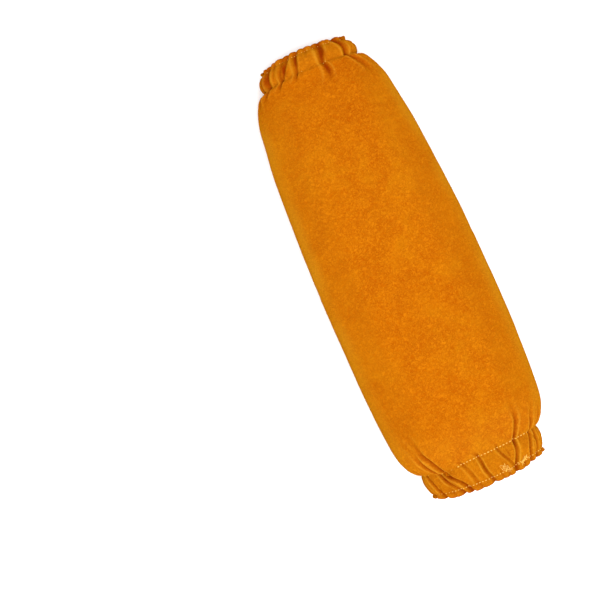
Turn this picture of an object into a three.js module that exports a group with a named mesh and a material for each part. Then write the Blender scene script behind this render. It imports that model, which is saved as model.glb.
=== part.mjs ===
// A suede welding sleeve for the forearm, lying on its belly. One piece of split cowhide makes the
// tapered tube, which is open at both ends. Each end is turned in as a hem channel, and the elastic
// band inside the channel gathers the leather into a puffed cuff with a short frill past it.
// Lengths are in millimetres. +Y runs along the sleeve to the wrist end, and +Z is up.
import * as THREE from "three";

const sleeveLength = 450; // from frill to frill along the middle of the top
const bodyWidth = 160.5; // at the widest place, as it lies
const bodyHeight = 62; // at the highest place, as it lies
const leatherThickness = 1.5;
const elasticThickness = 1;
const clearance = 0.3; // between layers that touch on the real sleeve
const bellyPress = 2; // how far the round underside is pressed flat by the surface that it lies on
const hemAllowance = 4; // leather of the hem that runs on past its stitch line
const pinchRun = 2.5; // length over which a stitch line draws the layers of the channel together
const bowFade = 70; // length of body over which the bow of a cuff dies out
const restsFrom = 0.5; // share of the body's rise at which its underside comes down to the surface
const seamDepth = 1; // of the valley along the underside, where the tube is sewn together
const seamWidth = 2.5;
const seamFade = 20; // length of body over which the seam's valley begins at each end
const seamAround = 0.75; // the middle of the underside, as a share of the way round
const gatherWaver = 0.008; // how unevenly the gathers are spaced, as a share of the way round
const gatherSwings = 3; // times that the spacing widens and narrows on the way round

// Rows follow the sleeve from the wrist's hem line (0) to the arm's (1). Fullness goes from the
// width of the cuff at that end (0) to the width of the body (1), and height does the same.
const bodyRows = [
  { along: 0.0, fullness: 0.0, height: 0.0 },
  { along: 0.004, fullness: 0.14, height: 0.1 },
  { along: 0.02, fullness: 0.32, height: 0.3 },
  { along: 0.044, fullness: 0.455, height: 0.47 },
  { along: 0.08, fullness: 0.575, height: 0.63 },
  { along: 0.13, fullness: 0.645, height: 0.78 },
  { along: 0.21, fullness: 0.778, height: 0.9 },
  { along: 0.3, fullness: 0.87, height: 0.96 },
  { along: 0.44, fullness: 0.95, height: 1.0 },
  { along: 0.6, fullness: 0.98, height: 1.0 },
  { along: 0.74, fullness: 1.0, height: 1.0 },
  { along: 0.82, fullness: 0.955, height: 0.96 },
  { along: 0.9, fullness: 0.85, height: 0.82 },
  { along: 0.94, fullness: 0.75, height: 0.66 },
  { along: 0.975, fullness: 0.5, height: 0.4 },
  { along: 0.992, fullness: 0.22, height: 0.17 },
  { along: 1.0, fullness: 0.0, height: 0.0 },
];

// Rows follow a cuff from its rim (0) to its hem line (1), and spread goes from the size of the
// rim (0) to the size at the hem line (1).
const cuffRows = [
  { along: 0.0, spread: 0.0 },
  { along: 0.24, spread: 0.3 },
  { along: 0.5, spread: 0.78 },
  { along: 0.75, spread: 1.0 },
  { along: 1.0, spread: 1.0 },
];

// Where a fold crosses the rim, the hem line and its far end in the body, as shares of the way round:
// 0 is the +X side, 0.25 the middle of the top, 0.5 the -X side and 0.75 the middle of the underside.
// Depth is a share of the cuff's fold depth, width of its fold width and reach of its fold reach.
const wristFolds = [
  { rim: 0.05, hem: 0.018, end: 0.01, depth: 0.8, width: 0.8, reach: 0.3 },
  { rim: 0.1, hem: 0.089, end: 0.078, depth: 0.95, width: 1.0, reach: 0.75 },
  { rim: 0.17, hem: 0.193, end: 0.206, depth: 1.0, width: 1.0, reach: 0.6 },
  { rim: 0.274, hem: 0.308, end: 0.31, depth: 0.85, width: 0.75, reach: 0.1 },
  { rim: 0.314, hem: 0.366, end: 0.374, depth: 0.75, width: 0.8, reach: 0.15 },
  { rim: 0.416, hem: 0.434, end: 0.438, depth: 0.9, width: 0.9, reach: 0.2 },
  { rim: 0.472, hem: 0.474, end: 0.456, depth: 0.8, width: 0.8, reach: 0.5 },
  { rim: 0.552, hem: 0.556, end: 0.56, depth: 0.85, width: 0.9, reach: 0.3 },
  { rim: 0.62, hem: 0.612, end: 0.604, depth: 0.7, width: 0.8, reach: 0.2 },
  { rim: 0.69, hem: 0.696, end: 0.7, depth: 0.9, width: 1.0, reach: 0.35 },
  { rim: 0.775, hem: 0.77, end: 0.77, depth: 0.75, width: 0.8, reach: 0.2 },
  { rim: 0.846, hem: 0.852, end: 0.858, depth: 0.9, width: 1.0, reach: 0.35 },
  { rim: 0.93, hem: 0.926, end: 0.924, depth: 0.8, width: 0.9, reach: 0.25 },
];
const armFolds = [
  { rim: 0.03, hem: 0.018, end: 0.012, depth: 0.7, width: 0.7, reach: 0.15 },
  { rim: 0.066, hem: 0.048, end: 0.042, depth: 0.8, width: 0.7, reach: 0.35 },
  { rim: 0.097, hem: 0.074, end: 0.076, depth: 0.95, width: 0.75, reach: 0.5 },
  { rim: 0.158, hem: 0.134, end: 0.128, depth: 1.0, width: 0.8, reach: 0.7 },
  { rim: 0.152, hem: 0.197, end: 0.2, depth: 0.55, width: 0.6, reach: 0.0 },
  { rim: 0.245, hem: 0.268, end: 0.27, depth: 0.85, width: 0.75, reach: 0.0 },
  { rim: 0.29, hem: 0.322, end: 0.326, depth: 0.45, width: 0.8, reach: 0.0 },
  { rim: 0.325, hem: 0.385, end: 0.418, depth: 1.0, width: 0.85, reach: 1.0 },
  { rim: 0.357, hem: 0.408, end: 0.43, depth: 0.8, width: 0.7, reach: 0.8 },
  { rim: 0.425, hem: 0.455, end: 0.462, depth: 0.85, width: 0.7, reach: 0.15 },
  { rim: 0.47, hem: 0.486, end: 0.49, depth: 0.7, width: 0.7, reach: 0.2 },
  { rim: 0.52, hem: 0.524, end: 0.53, depth: 0.8, width: 0.9, reach: 0.3 },
  { rim: 0.584, hem: 0.576, end: 0.566, depth: 0.9, width: 0.9, reach: 0.45 },
  { rim: 0.648, hem: 0.656, end: 0.66, depth: 0.7, width: 0.8, reach: 0.15 },
  { rim: 0.716, hem: 0.706, end: 0.7, depth: 0.95, width: 1.0, reach: 0.4 },
  { rim: 0.79, hem: 0.798, end: 0.804, depth: 0.75, width: 0.85, reach: 0.2 },
  { rim: 0.862, hem: 0.868, end: 0.88, depth: 0.95, width: 1.0, reach: 0.5 },
  { rim: 0.942, hem: 0.95, end: 0.956, depth: 0.85, width: 0.9, reach: 0.3 },
];

const wristCuff = {
  depth: 21.6, // from the rim to the hem's stitch line
  frill: 5, // from the rim to the stitch line beside it
  hemWidth: 97,
  rimWidth: 86,
  hemHeight: 46,
  rimHeight: 40,
  hemLift: 3, // of the underside above the surface
  rimLift: 5,
  rimBow: 2.5, // how far the middle of the rim stands out past its sides
  hemBow: 3.2,
  puff: 1.4, // swell of the leather between the two stitch lines
  foldDepth: 2.8,
  foldWidth: 4.2,
  foldReach: 34, // how far into the body the longest fold runs
  gathers: 22,
  gatherDepth: 0.9,
  gatherReach: 11, // how far into the body the gathers run
  rimNotch: 1.8, // how far a fold draws the rim back
  folds: wristFolds,
};
const armCuff = {
  depth: 30.3,
  frill: 6.5,
  hemWidth: 119.5,
  rimWidth: 114,
  hemHeight: 50,
  rimHeight: 44,
  hemLift: 2.5,
  rimLift: 5,
  rimBow: 5,
  hemBow: 1.8,
  puff: 1.4,
  foldDepth: 3.1,
  foldWidth: 4.4,
  foldReach: 48,
  gathers: 22,
  gatherDepth: 0.9,
  gatherReach: 11, // how far into the body the gathers run
  rimNotch: 1.8,
  folds: armFolds,
};

// Roundness of a cross-section's upper and lower half: 2 is an ellipse, and more is squarer
const cuffRoundness = { over: 2.2, under: 2.3 };
const bodyRoundness = { over: 2.35, under: 3.2 };
const sideLine = 0.47; // height of the widest place, as a share of the section's height
const cuffPoints = 88; // round a ring where the folds are
const bodyPoints = 44; // round a ring where the leather is smooth

const clamp = (value) => Math.min(1, Math.max(0, value));
const ease = (value) => clamp(value) ** 2 * (3 - 2 * clamp(value));
const mix = (from, to, share) => from + (to - from) * share;

// A smooth curve through one column of a table, which never overshoots its rows
function curveThrough(rows, column) {
  const at = rows.map((row) => row.along);
  const value = rows.map((row) => row[column]);
  const slope = value.slice(1).map((next, i) => (next - value[i]) / (at[i + 1] - at[i]));
  const tangent = at.map((_, i) => {
    const before = slope[Math.max(0, i - 1)];
    const after = slope[Math.min(slope.length - 1, i)];
    return before * after > 0 ? 2 / (1 / before + 1 / after) : 0;
  });
  return (along) => {
    const where = clamp(along);
    const i = Math.max(0, Math.min(slope.length - 1, at.findLastIndex((x) => x <= where)));
    const span = at[i + 1] - at[i];
    const s = (where - at[i]) / span;
    const rise = value[i + 1] - value[i];
    const start = tangent[i] * span;
    const end = tangent[i + 1] * span;
    return value[i] + s * (start + s * (3 * rise - 2 * start - end + s * (start + end - 2 * rise)));
  };
}

const bodyFullness = curveThrough(bodyRows, "fullness");
const bodyRise = curveThrough(bodyRows, "height");
const cuffSpread = curveThrough(cuffRows, "spread");

// Where a station lies. A station is a distance from the wrist's rim along the middle of the top.
function placeOf(station) {
  const atWrist = station < sleeveLength / 2;
  const cuff = atWrist ? wristCuff : armCuff;
  const fromRim = atWrist ? station : sleeveLength - station;
  const bodyLength = sleeveLength - wristCuff.depth - armCuff.depth;
  return {
    cuff,
    fromRim,
    sign: atWrist ? 1 : -1,
    intoBody: fromRim - cuff.depth,
    along: (station - wristCuff.depth) / bodyLength,
  };
}

// Widths and heights of the envelope at a station: the sleeve's outside without its folds
function envelopeAt(station) {
  const { cuff, fromRim, intoBody, along } = placeOf(station);
  const spread = cuffSpread(fromRim / cuff.depth);
  const fullness = bodyFullness(along);
  const rise = bodyRise(along);
  const width = mix(mix(cuff.rimWidth, cuff.hemWidth, spread), bodyWidth, fullness);
  const low = mix(mix(cuff.rimLift, cuff.hemLift, spread), -bellyPress, ease(rise / restsFrom));
  const cuffHeight = mix(cuff.rimHeight, cuff.hemHeight, spread);
  const top = mix(low + cuffHeight, bodyHeight, rise);
  const bow = mix(cuff.rimBow, cuff.hemBow, clamp(fromRim / cuff.depth));
  return {
    halfWidth: width / 2,
    low,
    top,
    over: mix(cuffRoundness.over, bodyRoundness.over, rise),
    under: mix(cuffRoundness.under, bodyRoundness.under, rise),
    bow: bow * (1 - ease(intoBody / bowFade)),
  };
}

// Half of a rounded section, from its +X end to its -X end, as a function of the share of its length
function halfSection(halfWidth, height, roundness) {
  const steps = 160;
  const points = Array.from({ length: steps + 1 }, (_, i) => {
    const angle = (Math.PI * i) / steps;
    const across = Math.sign(Math.cos(angle)) * Math.abs(Math.cos(angle)) ** (2 / roundness);
    return [halfWidth * across, height * Math.abs(Math.sin(angle)) ** (2 / roundness)];
  });
  const lengths = [0];
  for (let i = 1; i <= steps; i++) {
    const step = Math.hypot(points[i][0] - points[i - 1][0], points[i][1] - points[i - 1][1]);
    lengths.push(lengths[i - 1] + step);
  }
  return (share) => {
    const length = clamp(share) * lengths[steps];
    const i = Math.min(steps - 1, lengths.findLastIndex((reached) => reached <= length));
    const part = (length - lengths[i]) / (lengths[i + 1] - lengths[i]);
    return points[i].map((from, axis) => mix(from, points[i + 1][axis], part));
  };
}

const sections = new Map(); // one for each station that was asked for
function sectionAt(station) {
  if (!sections.has(station)) {
    const envelope = envelopeAt(station);
    const side = mix(envelope.low, envelope.top, sideLine);
    sections.set(station, {
      ...envelope,
      side,
      overHalf: halfSection(envelope.halfWidth, envelope.top - side, envelope.over),
      underHalf: halfSection(envelope.halfWidth, side - envelope.low, envelope.under),
    });
  }
  return sections.get(station);
}

// The envelope's point at a share of the way round and a station
function envelopePoint(around, station) {
  const section = sectionAt(station);
  const turn = around - Math.floor(around);
  const isOver = turn <= 0.5;
  const [x, height] = isOver ? section.overHalf(2 * turn) : section.underHalf(2 - 2 * turn);
  const { sign } = placeOf(station);
  const bowed = section.bow * (x / section.halfWidth) ** 2;
  const z = isOver ? section.side + height : Math.max(0, section.side - height);
  return new THREE.Vector3(x, sleeveLength / 2 - station - sign * bowed, z);
}

// The envelope's outward direction there
function envelopeNormal(around, station) {
  const turnStep = 0.002;
  const stationStep = 0.5;
  const roundWay = envelopePoint(around + turnStep, station).sub(
    envelopePoint(around - turnStep, station),
  );
  const before = Math.max(0, station - stationStep);
  const after = Math.min(sleeveLength, station + stationStep);
  const alongWay = envelopePoint(around, after).sub(envelopePoint(around, before));
  return roundWay.cross(alongWay).normalize();
}

const apart = (a, b) => Math.abs(a - b - Math.round(a - b)); // two shares of the way round
const roundLength = (width, height) => Math.PI * Math.hypot(width, height) * Math.SQRT1_2;

// How deep the leather is folded in there, as a share of the cuff's fold depth
function foldShare(around, station) {
  const { cuff, fromRim, intoBody } = placeOf(station);
  const cuffRound = roundLength(cuff.hemWidth, cuff.hemHeight);
  let flat = 1;
  for (const fold of cuff.folds) {
    const reach = fold.reach * cuff.foldReach + cuff.frill;
    const run = intoBody / reach;
    const centre =
      intoBody < 0
        ? mix(fold.rim, fold.hem, fromRim / cuff.depth)
        : mix(fold.hem, fold.end, clamp(run));
    const width = (fold.width * cuff.foldWidth) / cuffRound;
    const across = Math.exp(-((apart(around, centre) / width) ** 2));
    flat *= 1 - fold.depth * across * (1 - ease(run));
  }
  const waver = gatherWaver * Math.sin(2 * Math.PI * gatherSwings * around);
  const gather = 0.5 - 0.5 * Math.cos(2 * Math.PI * cuff.gathers * (around + waver));
  const fade = 1 - ease(intoBody / cuff.gatherReach);
  flat *= 1 - (cuff.gatherDepth / cuff.foldDepth) * gather * fade;
  return 1 - flat;
}

// How far below the envelope the outer face of the leather lies
function foldDrop(around, station) {
  const { cuff, fromRim, intoBody } = placeOf(station);
  const swell = clamp((fromRim - cuff.frill) / (cuff.depth - cuff.frill));
  const puff = cuff.puff * Math.sin(Math.PI * swell);
  const fromSeam = apart(around, seamAround) * roundLength(bodyWidth, bodyHeight);
  const seam = Math.exp(-((fromSeam / seamWidth) ** 2));
  const valley = seamDepth * seam * ease(intoBody / seamFade);
  return cuff.foldDepth * foldShare(around, station) - puff + valley;
}

// How far below the envelope the turned-in hem's channel face lies
function hemDrop(around, station) {
  const { cuff, fromRim } = placeOf(station);
  const fromRimStitch = fromRim - cuff.frill;
  const fromHemStitch = cuff.depth - fromRim;
  const open = ease(Math.min(fromRimStitch, fromHemStitch) / pinchRun);
  const pinched = foldDrop(around, station) + leatherThickness + clearance;
  const gather = 0.5 + 0.5 * Math.cos(2 * Math.PI * cuff.gathers * around);
  const clearOfElastic = bandDrop(cuff) + elasticThickness + clearance;
  return mix(pinched, clearOfElastic + cuff.gatherDepth * gather, open);
}

// How far below the envelope the elastic band's outer face lies: under the deepest fold
const bandDrop = (cuff) => cuff.foldDepth + leatherThickness + clearance;

// A ring of points at a station, each dropped below the envelope by what the layer says
function ring(station, points, drop) {
  return Array.from({ length: points }, (_, i) => {
    const around = i / points;
    const { cuff, fromRim, sign } = placeOf(station);
    const below = typeof drop === "function" ? drop(around, station) : drop;
    const point = envelopePoint(around, station);
    point.addScaledVector(envelopeNormal(around, station), -below);
    const notch = clamp(1 - fromRim / cuff.frill) * cuff.rimNotch * foldShare(around, station);
    point.y -= sign * notch;
    point.z = Math.max(0, point.z);
    return point;
  });
}

// A closed surface through a loop of rings, which may differ in their number of points. Facing layers
// run opposite ways along the sleeve, so a tie goes the other way there and their diagonals match.
function skinOver(rings) {
  const starts = rings.map((_, i) => rings.slice(0, i).reduce((sum, r) => sum + r.length, 0));
  const faces = [];
  rings.forEach((from, k) => {
    const next = (k + 1) % rings.length;
    const to = rings[next];
    const corner = (of, start, i) => start + (i % of.length);
    const tie = to[0].y < from[0].y ? 0 : 1;
    let i = 0;
    let j = 0;
    while (i < from.length || j < to.length) {
      const onFrom = corner(from, starts[k], i);
      const onTo = corner(to, starts[next], j);
      const fromIsBehind = (i + 1) * to.length + tie <= (j + 1) * from.length;
      if (j === to.length || (i < from.length && fromIsBehind)) {
        faces.push(onTo, onFrom, corner(from, starts[k], i + 1));
        i++;
      } else {
        faces.push(onTo, onFrom, corner(to, starts[next], j + 1));
        j++;
      }
    }
  });
  const geometry = new THREE.BufferGeometry().setFromPoints(rings.flat());
  geometry.setIndex(faces);
  geometry.computeVertexNormals();
  return geometry;
}

const leatherDrop = (around, station) => foldDrop(around, station) + leatherThickness;
const hemInnerDrop = (around, station) => hemDrop(around, station) + leatherThickness;

const shares = (count) => Array.from({ length: count + 1 }, (_, i) => i / count);

const fromWrist = (distances) => distances;
const fromArm = (distances) => distances.map((distance) => sleeveLength - distance);

// The turned-in end of the tube, as rings that run from the rim towards the body
function hemRings(cuff, stationsFrom) {
  const runStart = cuff.frill + pinchRun;
  const runEnd = cuff.depth - pinchRun;
  const middle = (runStart + runEnd) / 2;
  const layer = (distances, points, drop) =>
    stationsFrom(distances).map((station) => ring(station, points, drop));
  const onwards = new THREE.Vector3(0, stationsFrom === fromWrist ? -hemAllowance : hemAllowance, 0);
  const freeEdge = (drop) =>
    layer([cuff.depth], cuffPoints, drop)[0].map((point) => point.add(onwards));
  return {
    outside: layer([0, cuff.frill, runStart, middle, runEnd, cuff.depth], cuffPoints, foldDrop),
    wall: layer([cuff.frill, runStart, middle, runEnd, cuff.depth], cuffPoints, leatherDrop),
    channel: [
      ...layer([cuff.frill], cuffPoints, hemDrop),
      ...layer([runStart, runEnd], bodyPoints, hemDrop),
      ...layer([cuff.depth], cuffPoints, hemDrop),
      freeEdge(hemDrop),
    ],
    inside: [...layer([0, runStart, runEnd], bodyPoints, hemInnerDrop), freeEdge(hemInnerDrop)],
  };
}

// Stations of the body: close together where the folds run in from a cuff, wide apart between
function bodyStations() {
  const start = wristCuff.depth;
  const end = sleeveLength - armCuff.depth;
  const wristShoulder = [2, 7, 16, wristCuff.foldReach];
  const armShoulder = [2, 7, 16, 30, armCuff.foldReach];
  const middle = shares(7).slice(1, -1);
  const middleStart = start + wristCuff.foldReach;
  const middleEnd = end - armCuff.foldReach;
  return [
    ...wristShoulder.map((distance) => start + distance),
    ...middle.map((share) => mix(middleStart, middleEnd, share)),
    ...armShoulder.reverse().map((distance) => end - distance),
  ];
}

function leatherTube() {
  const wrist = hemRings(wristCuff, fromWrist);
  const arm = hemRings(armCuff, fromArm);
  const body = bodyStations();
  const isFolded = (station) => placeOf(station).intoBody < placeOf(station).cuff.foldReach;
  const pointsAt = (station) => (isFolded(station) ? cuffPoints : bodyPoints);
  const bodyOutside = body.map((station) => ring(station, pointsAt(station), foldDrop));
  const bodyInside = body.map((station) => ring(station, pointsAt(station), leatherDrop));
  return skinOver([
    ...wrist.outside,
    ...bodyOutside,
    ...arm.outside.reverse(),
    ...arm.inside,
    ...arm.channel.reverse(),
    ...arm.wall,
    ...bodyInside.reverse(),
    ...wrist.wall.reverse(),
    ...wrist.channel,
    ...wrist.inside.reverse(),
  ]);
}

// A flat tape in a closed loop, which fills the channel between the runs of its stitch lines
function elasticBand(cuff, stationsFrom) {
  const start = cuff.frill + pinchRun + clearance;
  const end = cuff.depth - pinchRun - clearance;
  const stations = stationsFrom([start, end]);
  const outer = bandDrop(cuff);
  const inner = outer + elasticThickness;
  const outerFace = stations.map((station) => ring(station, bodyPoints, outer));
  const innerFace = stations.map((station) => ring(station, bodyPoints, inner));
  const loop = [...outerFace, ...innerFace.reverse()];
  return skinOver(stationsFrom === fromWrist ? loop : loop.reverse());
}

const suede = new THREE.MeshStandardMaterial({ color: 0xdc7d0c, roughness: 0.95, metalness: 0 });
const elastic = new THREE.MeshStandardMaterial({ color: 0xe8e2d2, roughness: 0.85, metalness: 0 });

function piece(name, geometry, material) {
  const mesh = new THREE.Mesh(geometry, material);
  mesh.name = name;
  return mesh;
}

const sleeve = new THREE.Group();
sleeve.add(
  piece("leather_sleeve", leatherTube(), suede),
  piece("wrist_elastic", elasticBand(wristCuff, fromWrist), elastic),
  piece("arm_elastic", elasticBand(armCuff, fromArm), elastic),
);

export default sleeve;
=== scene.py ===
import math

import bpy
import numpy as np
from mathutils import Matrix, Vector, noise


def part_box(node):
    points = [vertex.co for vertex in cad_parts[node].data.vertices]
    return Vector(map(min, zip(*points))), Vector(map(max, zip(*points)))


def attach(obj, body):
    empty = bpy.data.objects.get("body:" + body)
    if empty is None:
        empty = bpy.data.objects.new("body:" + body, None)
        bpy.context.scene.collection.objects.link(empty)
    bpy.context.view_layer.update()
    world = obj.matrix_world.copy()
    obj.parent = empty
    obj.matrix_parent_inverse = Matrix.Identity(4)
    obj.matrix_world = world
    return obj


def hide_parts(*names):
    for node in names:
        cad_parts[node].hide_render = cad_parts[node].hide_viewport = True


# Suede welding sleeve, lying on a pale floor and seen straight from above.
# Lengths in the dictionaries are millimetres; the meshes are made in metres.
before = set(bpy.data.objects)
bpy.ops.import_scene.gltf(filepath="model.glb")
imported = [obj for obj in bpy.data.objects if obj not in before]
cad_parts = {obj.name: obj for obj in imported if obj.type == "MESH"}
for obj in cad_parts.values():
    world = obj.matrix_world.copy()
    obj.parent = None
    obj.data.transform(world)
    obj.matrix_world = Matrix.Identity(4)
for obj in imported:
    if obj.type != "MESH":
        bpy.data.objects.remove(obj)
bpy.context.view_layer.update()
sleeveLow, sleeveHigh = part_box("leather_sleeve")
mm = 0.001
print("frame loaded")

# The sleeve's own sizes; the overall ones come from the solid that it replaces
sleeve = {
    "length": (sleeveHigh.y - sleeveLow.y) / mm,
    "bodyWidth": (sleeveHigh.x - sleeveLow.x) / mm,
    "bodyHeight": (sleeveHigh.z - sleeveLow.z) / mm,
    "leather": 1.5,
    "elastic": 1.0,
    "clearance": 0.3,
    "bellyPress": 2,          # how far the round underside is pressed flat by the floor
    "hemAllowance": 4,        # leather of the hem past its stitch line
    "pinchRun": 2.5,          # over which a stitch line draws the channel's layers together
    "bowFade": 70,            # length of body over which a cuff's bow dies out
    "restsFrom": 0.5,         # share of the body's rise at which its underside meets the floor
    "sideLine": 0.47,         # height of the widest place, as a share of the section
    "cuffRoundness": (2.2, 2.3),   # over and under: 2 is an ellipse, more is squarer
    "bodyRoundness": (2.35, 3.2),
    "seamDepth": 1.0,
    "seamWidth": 1.6,
    "seamFade": 20,
    "seamAround": 0.75,
    "stitchSink": 0.7,        # how far a stitch row pulls the leather in
    "stitchSinkWidth": 1.2,
    "foldSway": 0.7,          # how far a fold wavers sideways along its run
    "dentDepth": 1.1,         # broad, soft dents of the body
    "dentSize": 75,
    "rippleDepth": 0.2,       # small unevenness of the hide
    "rippleSize": 13,
    "rippleShift": (40, 0, 0),   # through the noise, so that ripples and dents differ
    "hideFade": 30,           # length of body over which dents and ripples come in
    "sagRun": 11,             # how far to each side of the hem line a sag reaches
}


# Rows of values under the names of their columns
def table(names, rows):
    return [dict(zip(names.split(), row)) for row in rows]


# From the wrist's hem line (0) to the arm's (1): cuff size (0) to body size (1)
bodyRows = table("along fullness height", [
    (0.0, 0.0, 0.0),
    (0.004, 0.14, 0.1),
    (0.02, 0.32, 0.3),
    (0.044, 0.455, 0.47),
    (0.08, 0.575, 0.63),
    (0.13, 0.645, 0.78),
    (0.21, 0.778, 0.9),
    (0.3, 0.87, 0.96),
    (0.44, 0.95, 1.0),
    (0.6, 0.98, 1.0),
    (0.74, 1.0, 1.0),
    (0.82, 0.955, 0.96),
    (0.9, 0.85, 0.82),
    (0.94, 0.75, 0.66),
    (0.975, 0.5, 0.4),
    (0.992, 0.22, 0.17),
    (1.0, 0.0, 0.0),
])
# From a cuff's rim (0) to its hem line (1)
cuffRows = table("along spread", [
    (0.0, 0.0),
    (0.24, 0.26),
    (0.5, 0.72),
    (0.75, 1.0),
    (1.0, 1.0),
])

# Where each fold crosses the rim, the hem line and its far end, as shares of the way round from the
# +X side over the top. Depth, width and reach are shares of the cuff's own.
wristFolds = table("rim hem end depth width reach", [
    (0.05, 0.018, 0.01, 0.8, 0.8, 0.3),
    (0.1, 0.089, 0.078, 0.95, 1.0, 0.75),
    (0.17, 0.193, 0.206, 1.0, 1.0, 0.6),
    (0.274, 0.308, 0.31, 0.85, 0.75, 0.1),
    (0.314, 0.366, 0.374, 0.75, 0.8, 0.15),
    (0.346, 0.374, 0.378, 0.6, 0.6, 0.1),
    (0.416, 0.434, 0.438, 0.9, 1.0, 0.2),
    (0.472, 0.474, 0.456, 0.8, 0.8, 0.5),
    (0.552, 0.556, 0.56, 0.85, 0.9, 0.3),
    (0.62, 0.612, 0.604, 0.7, 0.8, 0.2),
    (0.69, 0.696, 0.7, 0.9, 1.0, 0.35),
    (0.775, 0.77, 0.77, 0.75, 0.8, 0.2),
    (0.846, 0.852, 0.858, 0.9, 1.0, 0.35),
    (0.93, 0.926, 0.924, 0.8, 0.9, 0.25),
])
armFolds = table("rim hem end depth width reach", [
    (0.03, 0.018, 0.012, 0.7, 0.7, 0.15),
    (0.066, 0.048, 0.042, 0.8, 0.7, 0.35),
    (0.097, 0.074, 0.076, 0.95, 0.75, 0.5),
    (0.158, 0.134, 0.128, 1.0, 0.8, 0.7),
    (0.152, 0.197, 0.2, 0.55, 0.6, 0.0),
    (0.245, 0.268, 0.27, 0.85, 0.75, 0.0),
    (0.29, 0.322, 0.326, 0.45, 0.8, 0.0),
    (0.325, 0.385, 0.418, 1.0, 0.85, 1.0),
    (0.357, 0.408, 0.43, 0.8, 0.7, 0.8),
    (0.425, 0.455, 0.462, 0.85, 0.7, 0.15),
    (0.47, 0.486, 0.49, 0.7, 0.7, 0.2),
    (0.52, 0.524, 0.53, 0.8, 0.9, 0.3),
    (0.584, 0.576, 0.566, 0.9, 0.9, 0.45),
    (0.648, 0.656, 0.66, 0.7, 0.8, 0.15),
    (0.716, 0.706, 0.7, 0.95, 1.0, 0.4),
    (0.79, 0.798, 0.804, 0.75, 0.85, 0.2),
    (0.862, 0.868, 0.88, 0.95, 1.0, 0.5),
    (0.942, 0.95, 0.956, 0.85, 0.9, 0.3),
])

# How every fold is formed. Its lips are the leather that stands up on both sides of it.
foldShape = {
    "lips": 0.36,              # height of a main fold's lips, as a share of its depth
    "smallLips": 0.1,
    "wrinkleLips": 0.3,
    "lipPlace": 2.0,           # how far from the fold's bottom they are, in its widths
    "lipWidth": 0.8,
    "lipShare": (0.25, 1),     # of the lips' height that is there at the rim and past the frill
    "softness": (1.0, 0.2),    # of the fold's bottom at both: the rim only waves
    "sharpFrom": 1.6,          # where it is at its sharpest, in frill widths from the rim
    "swayPace": (0.23, 2.1),   # how fast a fold wavers along its run, and from fold to fold
    "depthPace": (0.31, 1.7),  # how fast its depth does
    "depthWave": 0.12,         # and by how much
    "lean": 9,                 # how much wider a slanting fold is on the side that it slants to
    "mostLean": 0.45,
    "widening": 0.3,           # towards its far end
    "smallFade": 0.9,          # how much of a small fold is lost past the frill
    "smallRun": 0.28,          # share of the cuff over which it is lost
    "smallAtHem": 0.25,        # how much of it comes back at the hem line
    "smallHemRun": 3,
}
# How much the small folds differ: ranges, and spreads about a middle. Shift is a share of their spacing.
smallFold = {
    "shift": (-0.25, 0.25),
    "hemSpread": 0.007, "endSpread": 0.004,
    "depth": (0.2, 0.6), "width": (0.38, 0.62), "reach": (0.0, 0.25),
}
# And the fine wrinkles. Start and length are shares of the cuff, and drift is a middle and a spread.
wrinkle = {
    "start": (0.15, 0.7), "length": (0.3, 0.55),
    "drift": (0.012, 0.02),
    "depth": (0.1, 0.3), "width": (0.28, 0.5),
}
# How the frill runs between the folds. The higher a power, the closer to its place something stays.
frillShape = {
    "notchPower": 3,           # of the notches between the rim's round lobes
    "cornerPower": 6,          # of the rim's two drawn-back corners
    "earPower": 8,             # of the ears that stand off there
    "tuck": 1.6,               # how far the frill turns in where it is folded
}

wristCuff = {
    "depth": 21.6,         # rim to the hem's stitch line
    "frill": 5,            # rim to the stitch line beside it
    "hemWidth": 97, "rimWidth": 86,
    "hemHeight": 46, "rimHeight": 40,
    "hemLift": 3, "rimLift": 5,
    "rimBow": 2.5, "hemBow": 3.2,
    "puff": 1.9,
    "foldDepth": 2.8, "foldWidth": 1.9, "foldReach": 34,
    "foldOpen": 1.8,       # how much wider a fold is at the rim than at the hem line
    "ridgeWearAndHighlight": 0.6,      # how strongly the ridges beside the folds are rubbed and lit with a painted highlight
    "creaseFall": 1.0,     # how fast the painted shade in a fold's bottom fades up its sides
    "gatherSpacing": 6.5,  # of the small folds between the main ones, along the rim
    "wrinkles": 26,        # fine creases that run neither to the rim nor past the hem
    "gatherDepth": 0.9,    # of the hidden layers
    "rimNotch": 0.9,       # how far the rim is drawn back in a fold
    "rimSway": 0.35,       # unevenness of the rim from fold to fold
    "rimBack": 0.6,        # how far the whole rim is drawn back
    "cornerDraw": 0.6,     # and how much further at its two sides
    "frillFlare": 0.7,     # how far the frill stands off between the folds
    "earFlare": 2.1,       # and at the two sides
    "sags": [],            # where the body hangs over the hem line
    # redder patches of painted shade, where the leather is folded under: shares of the way round, and
    # from the rim
    "shadePatches": table("around fromRim width run amount", [
        (0.086, 8, 0.014, 5, 0.45),
        (0.179, 10, 0.012, 7, 0.75),
        (0.199, 28, 0.008, 5, 0.45),
        (0.292, 11, 0.007, 6, 0.5),
        (0.348, 13, 0.011, 6, 0.75),
        (0.446, 14, 0.014, 8, 0.55),
    ]),
    "seed": 3,
}
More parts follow.
